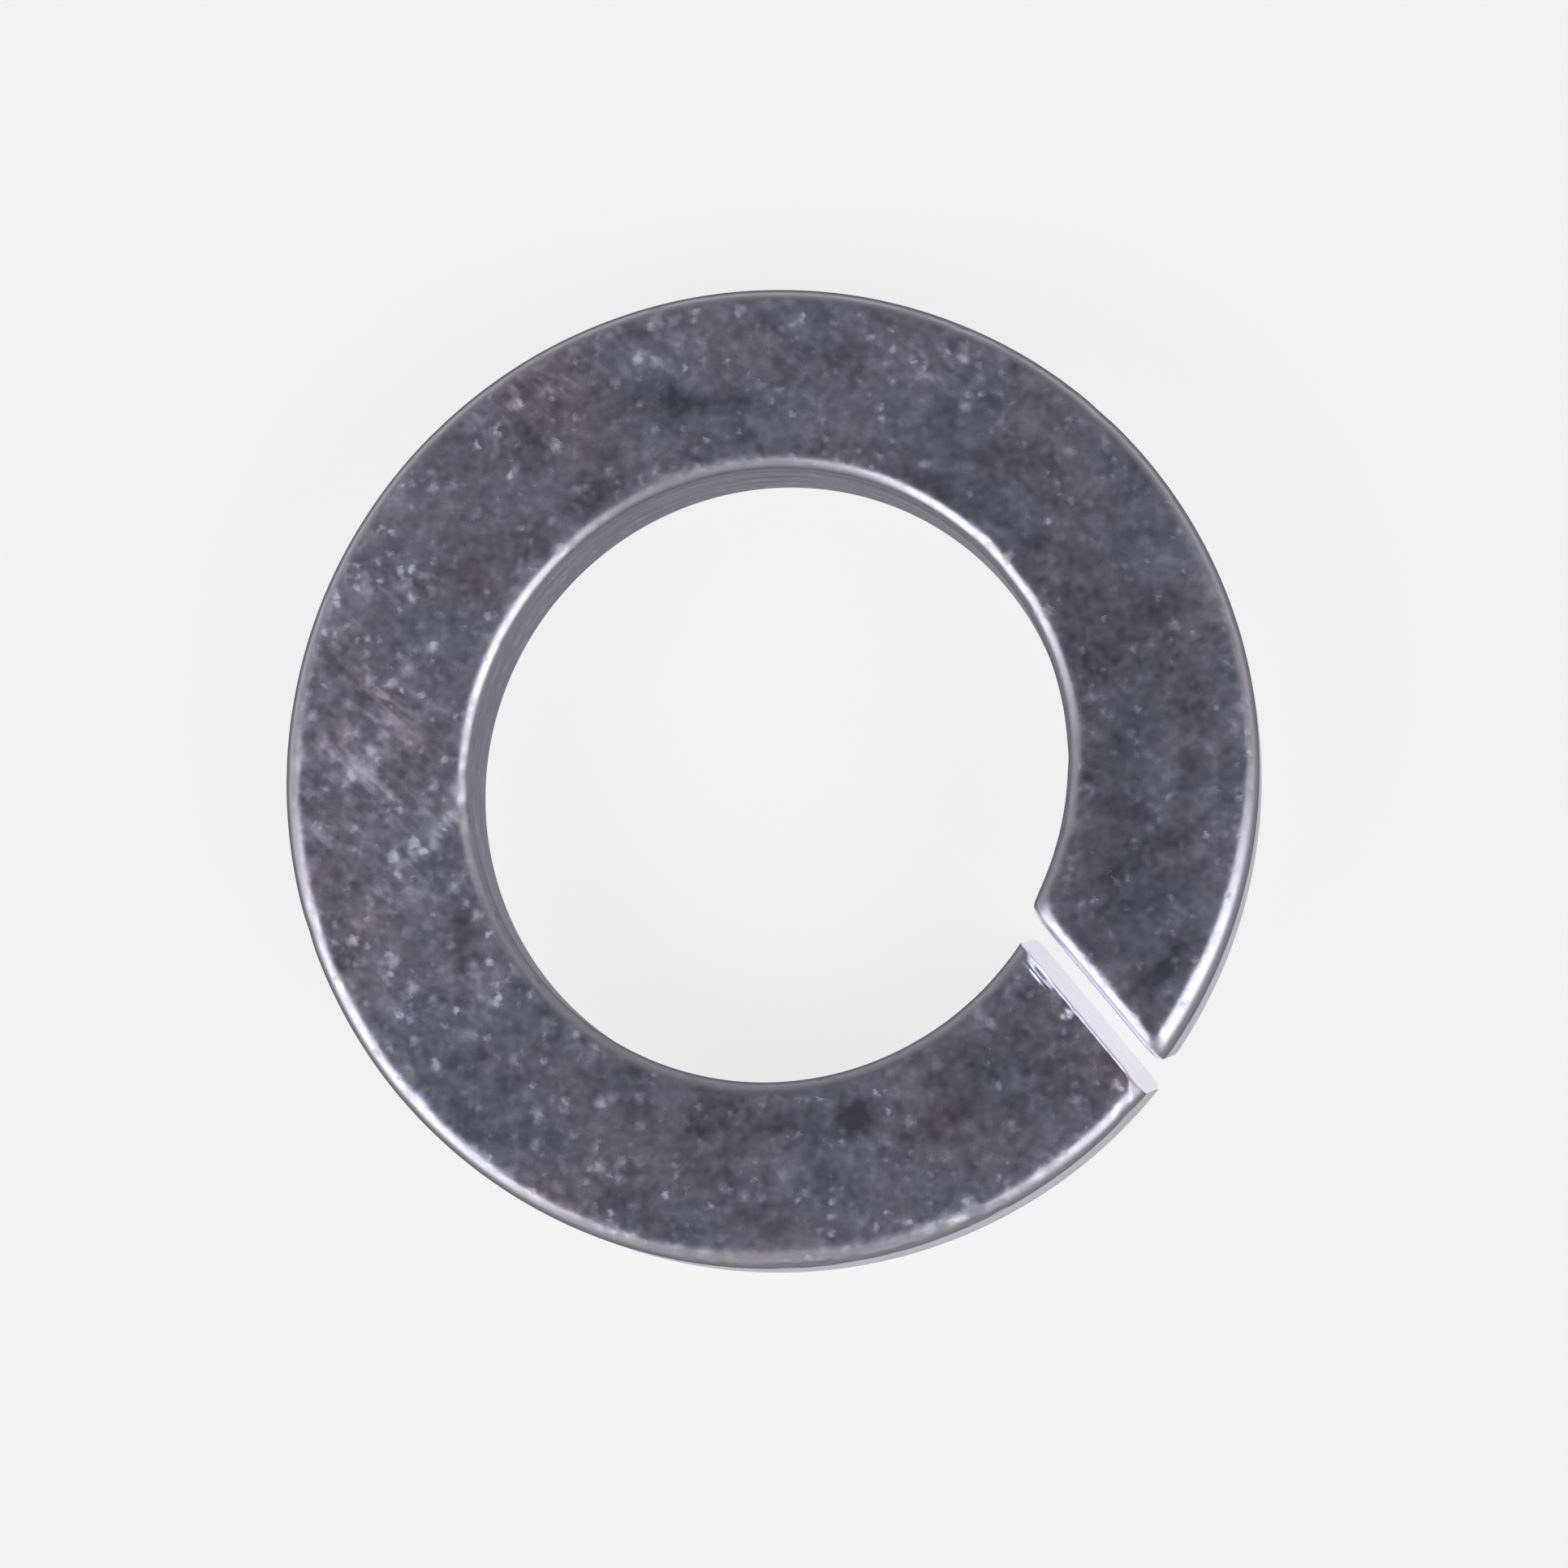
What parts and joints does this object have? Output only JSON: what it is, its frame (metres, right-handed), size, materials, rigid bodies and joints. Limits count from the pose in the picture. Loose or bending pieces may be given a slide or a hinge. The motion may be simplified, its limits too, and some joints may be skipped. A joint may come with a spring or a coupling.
{
  "type": "helical spring lock washer",
  "caption": "Helical split lock washer: a turn of plated spring steel wire with a slanted cut and offset ends, which keeps a bolted joint tight.",
  "frame": {"origin": "on the bolt axis, level with the lowest edge of the free washer", "axes": "+Z along the bolt axis, towards the nut or bolt head; the cut runs outwards at 51 degrees from +X towards -Y"},
  "size_m": [0.0266, 0.0266, 0.0062],
  "materials": {
    "zinc_plated_steel": "bright zinc plating, bluish, with tumbling marks and light scuffs"
  },
  "bodies": {
    "root": {"lock_washer": "zinc_plated_steel"}
  },
  "joints": []
}
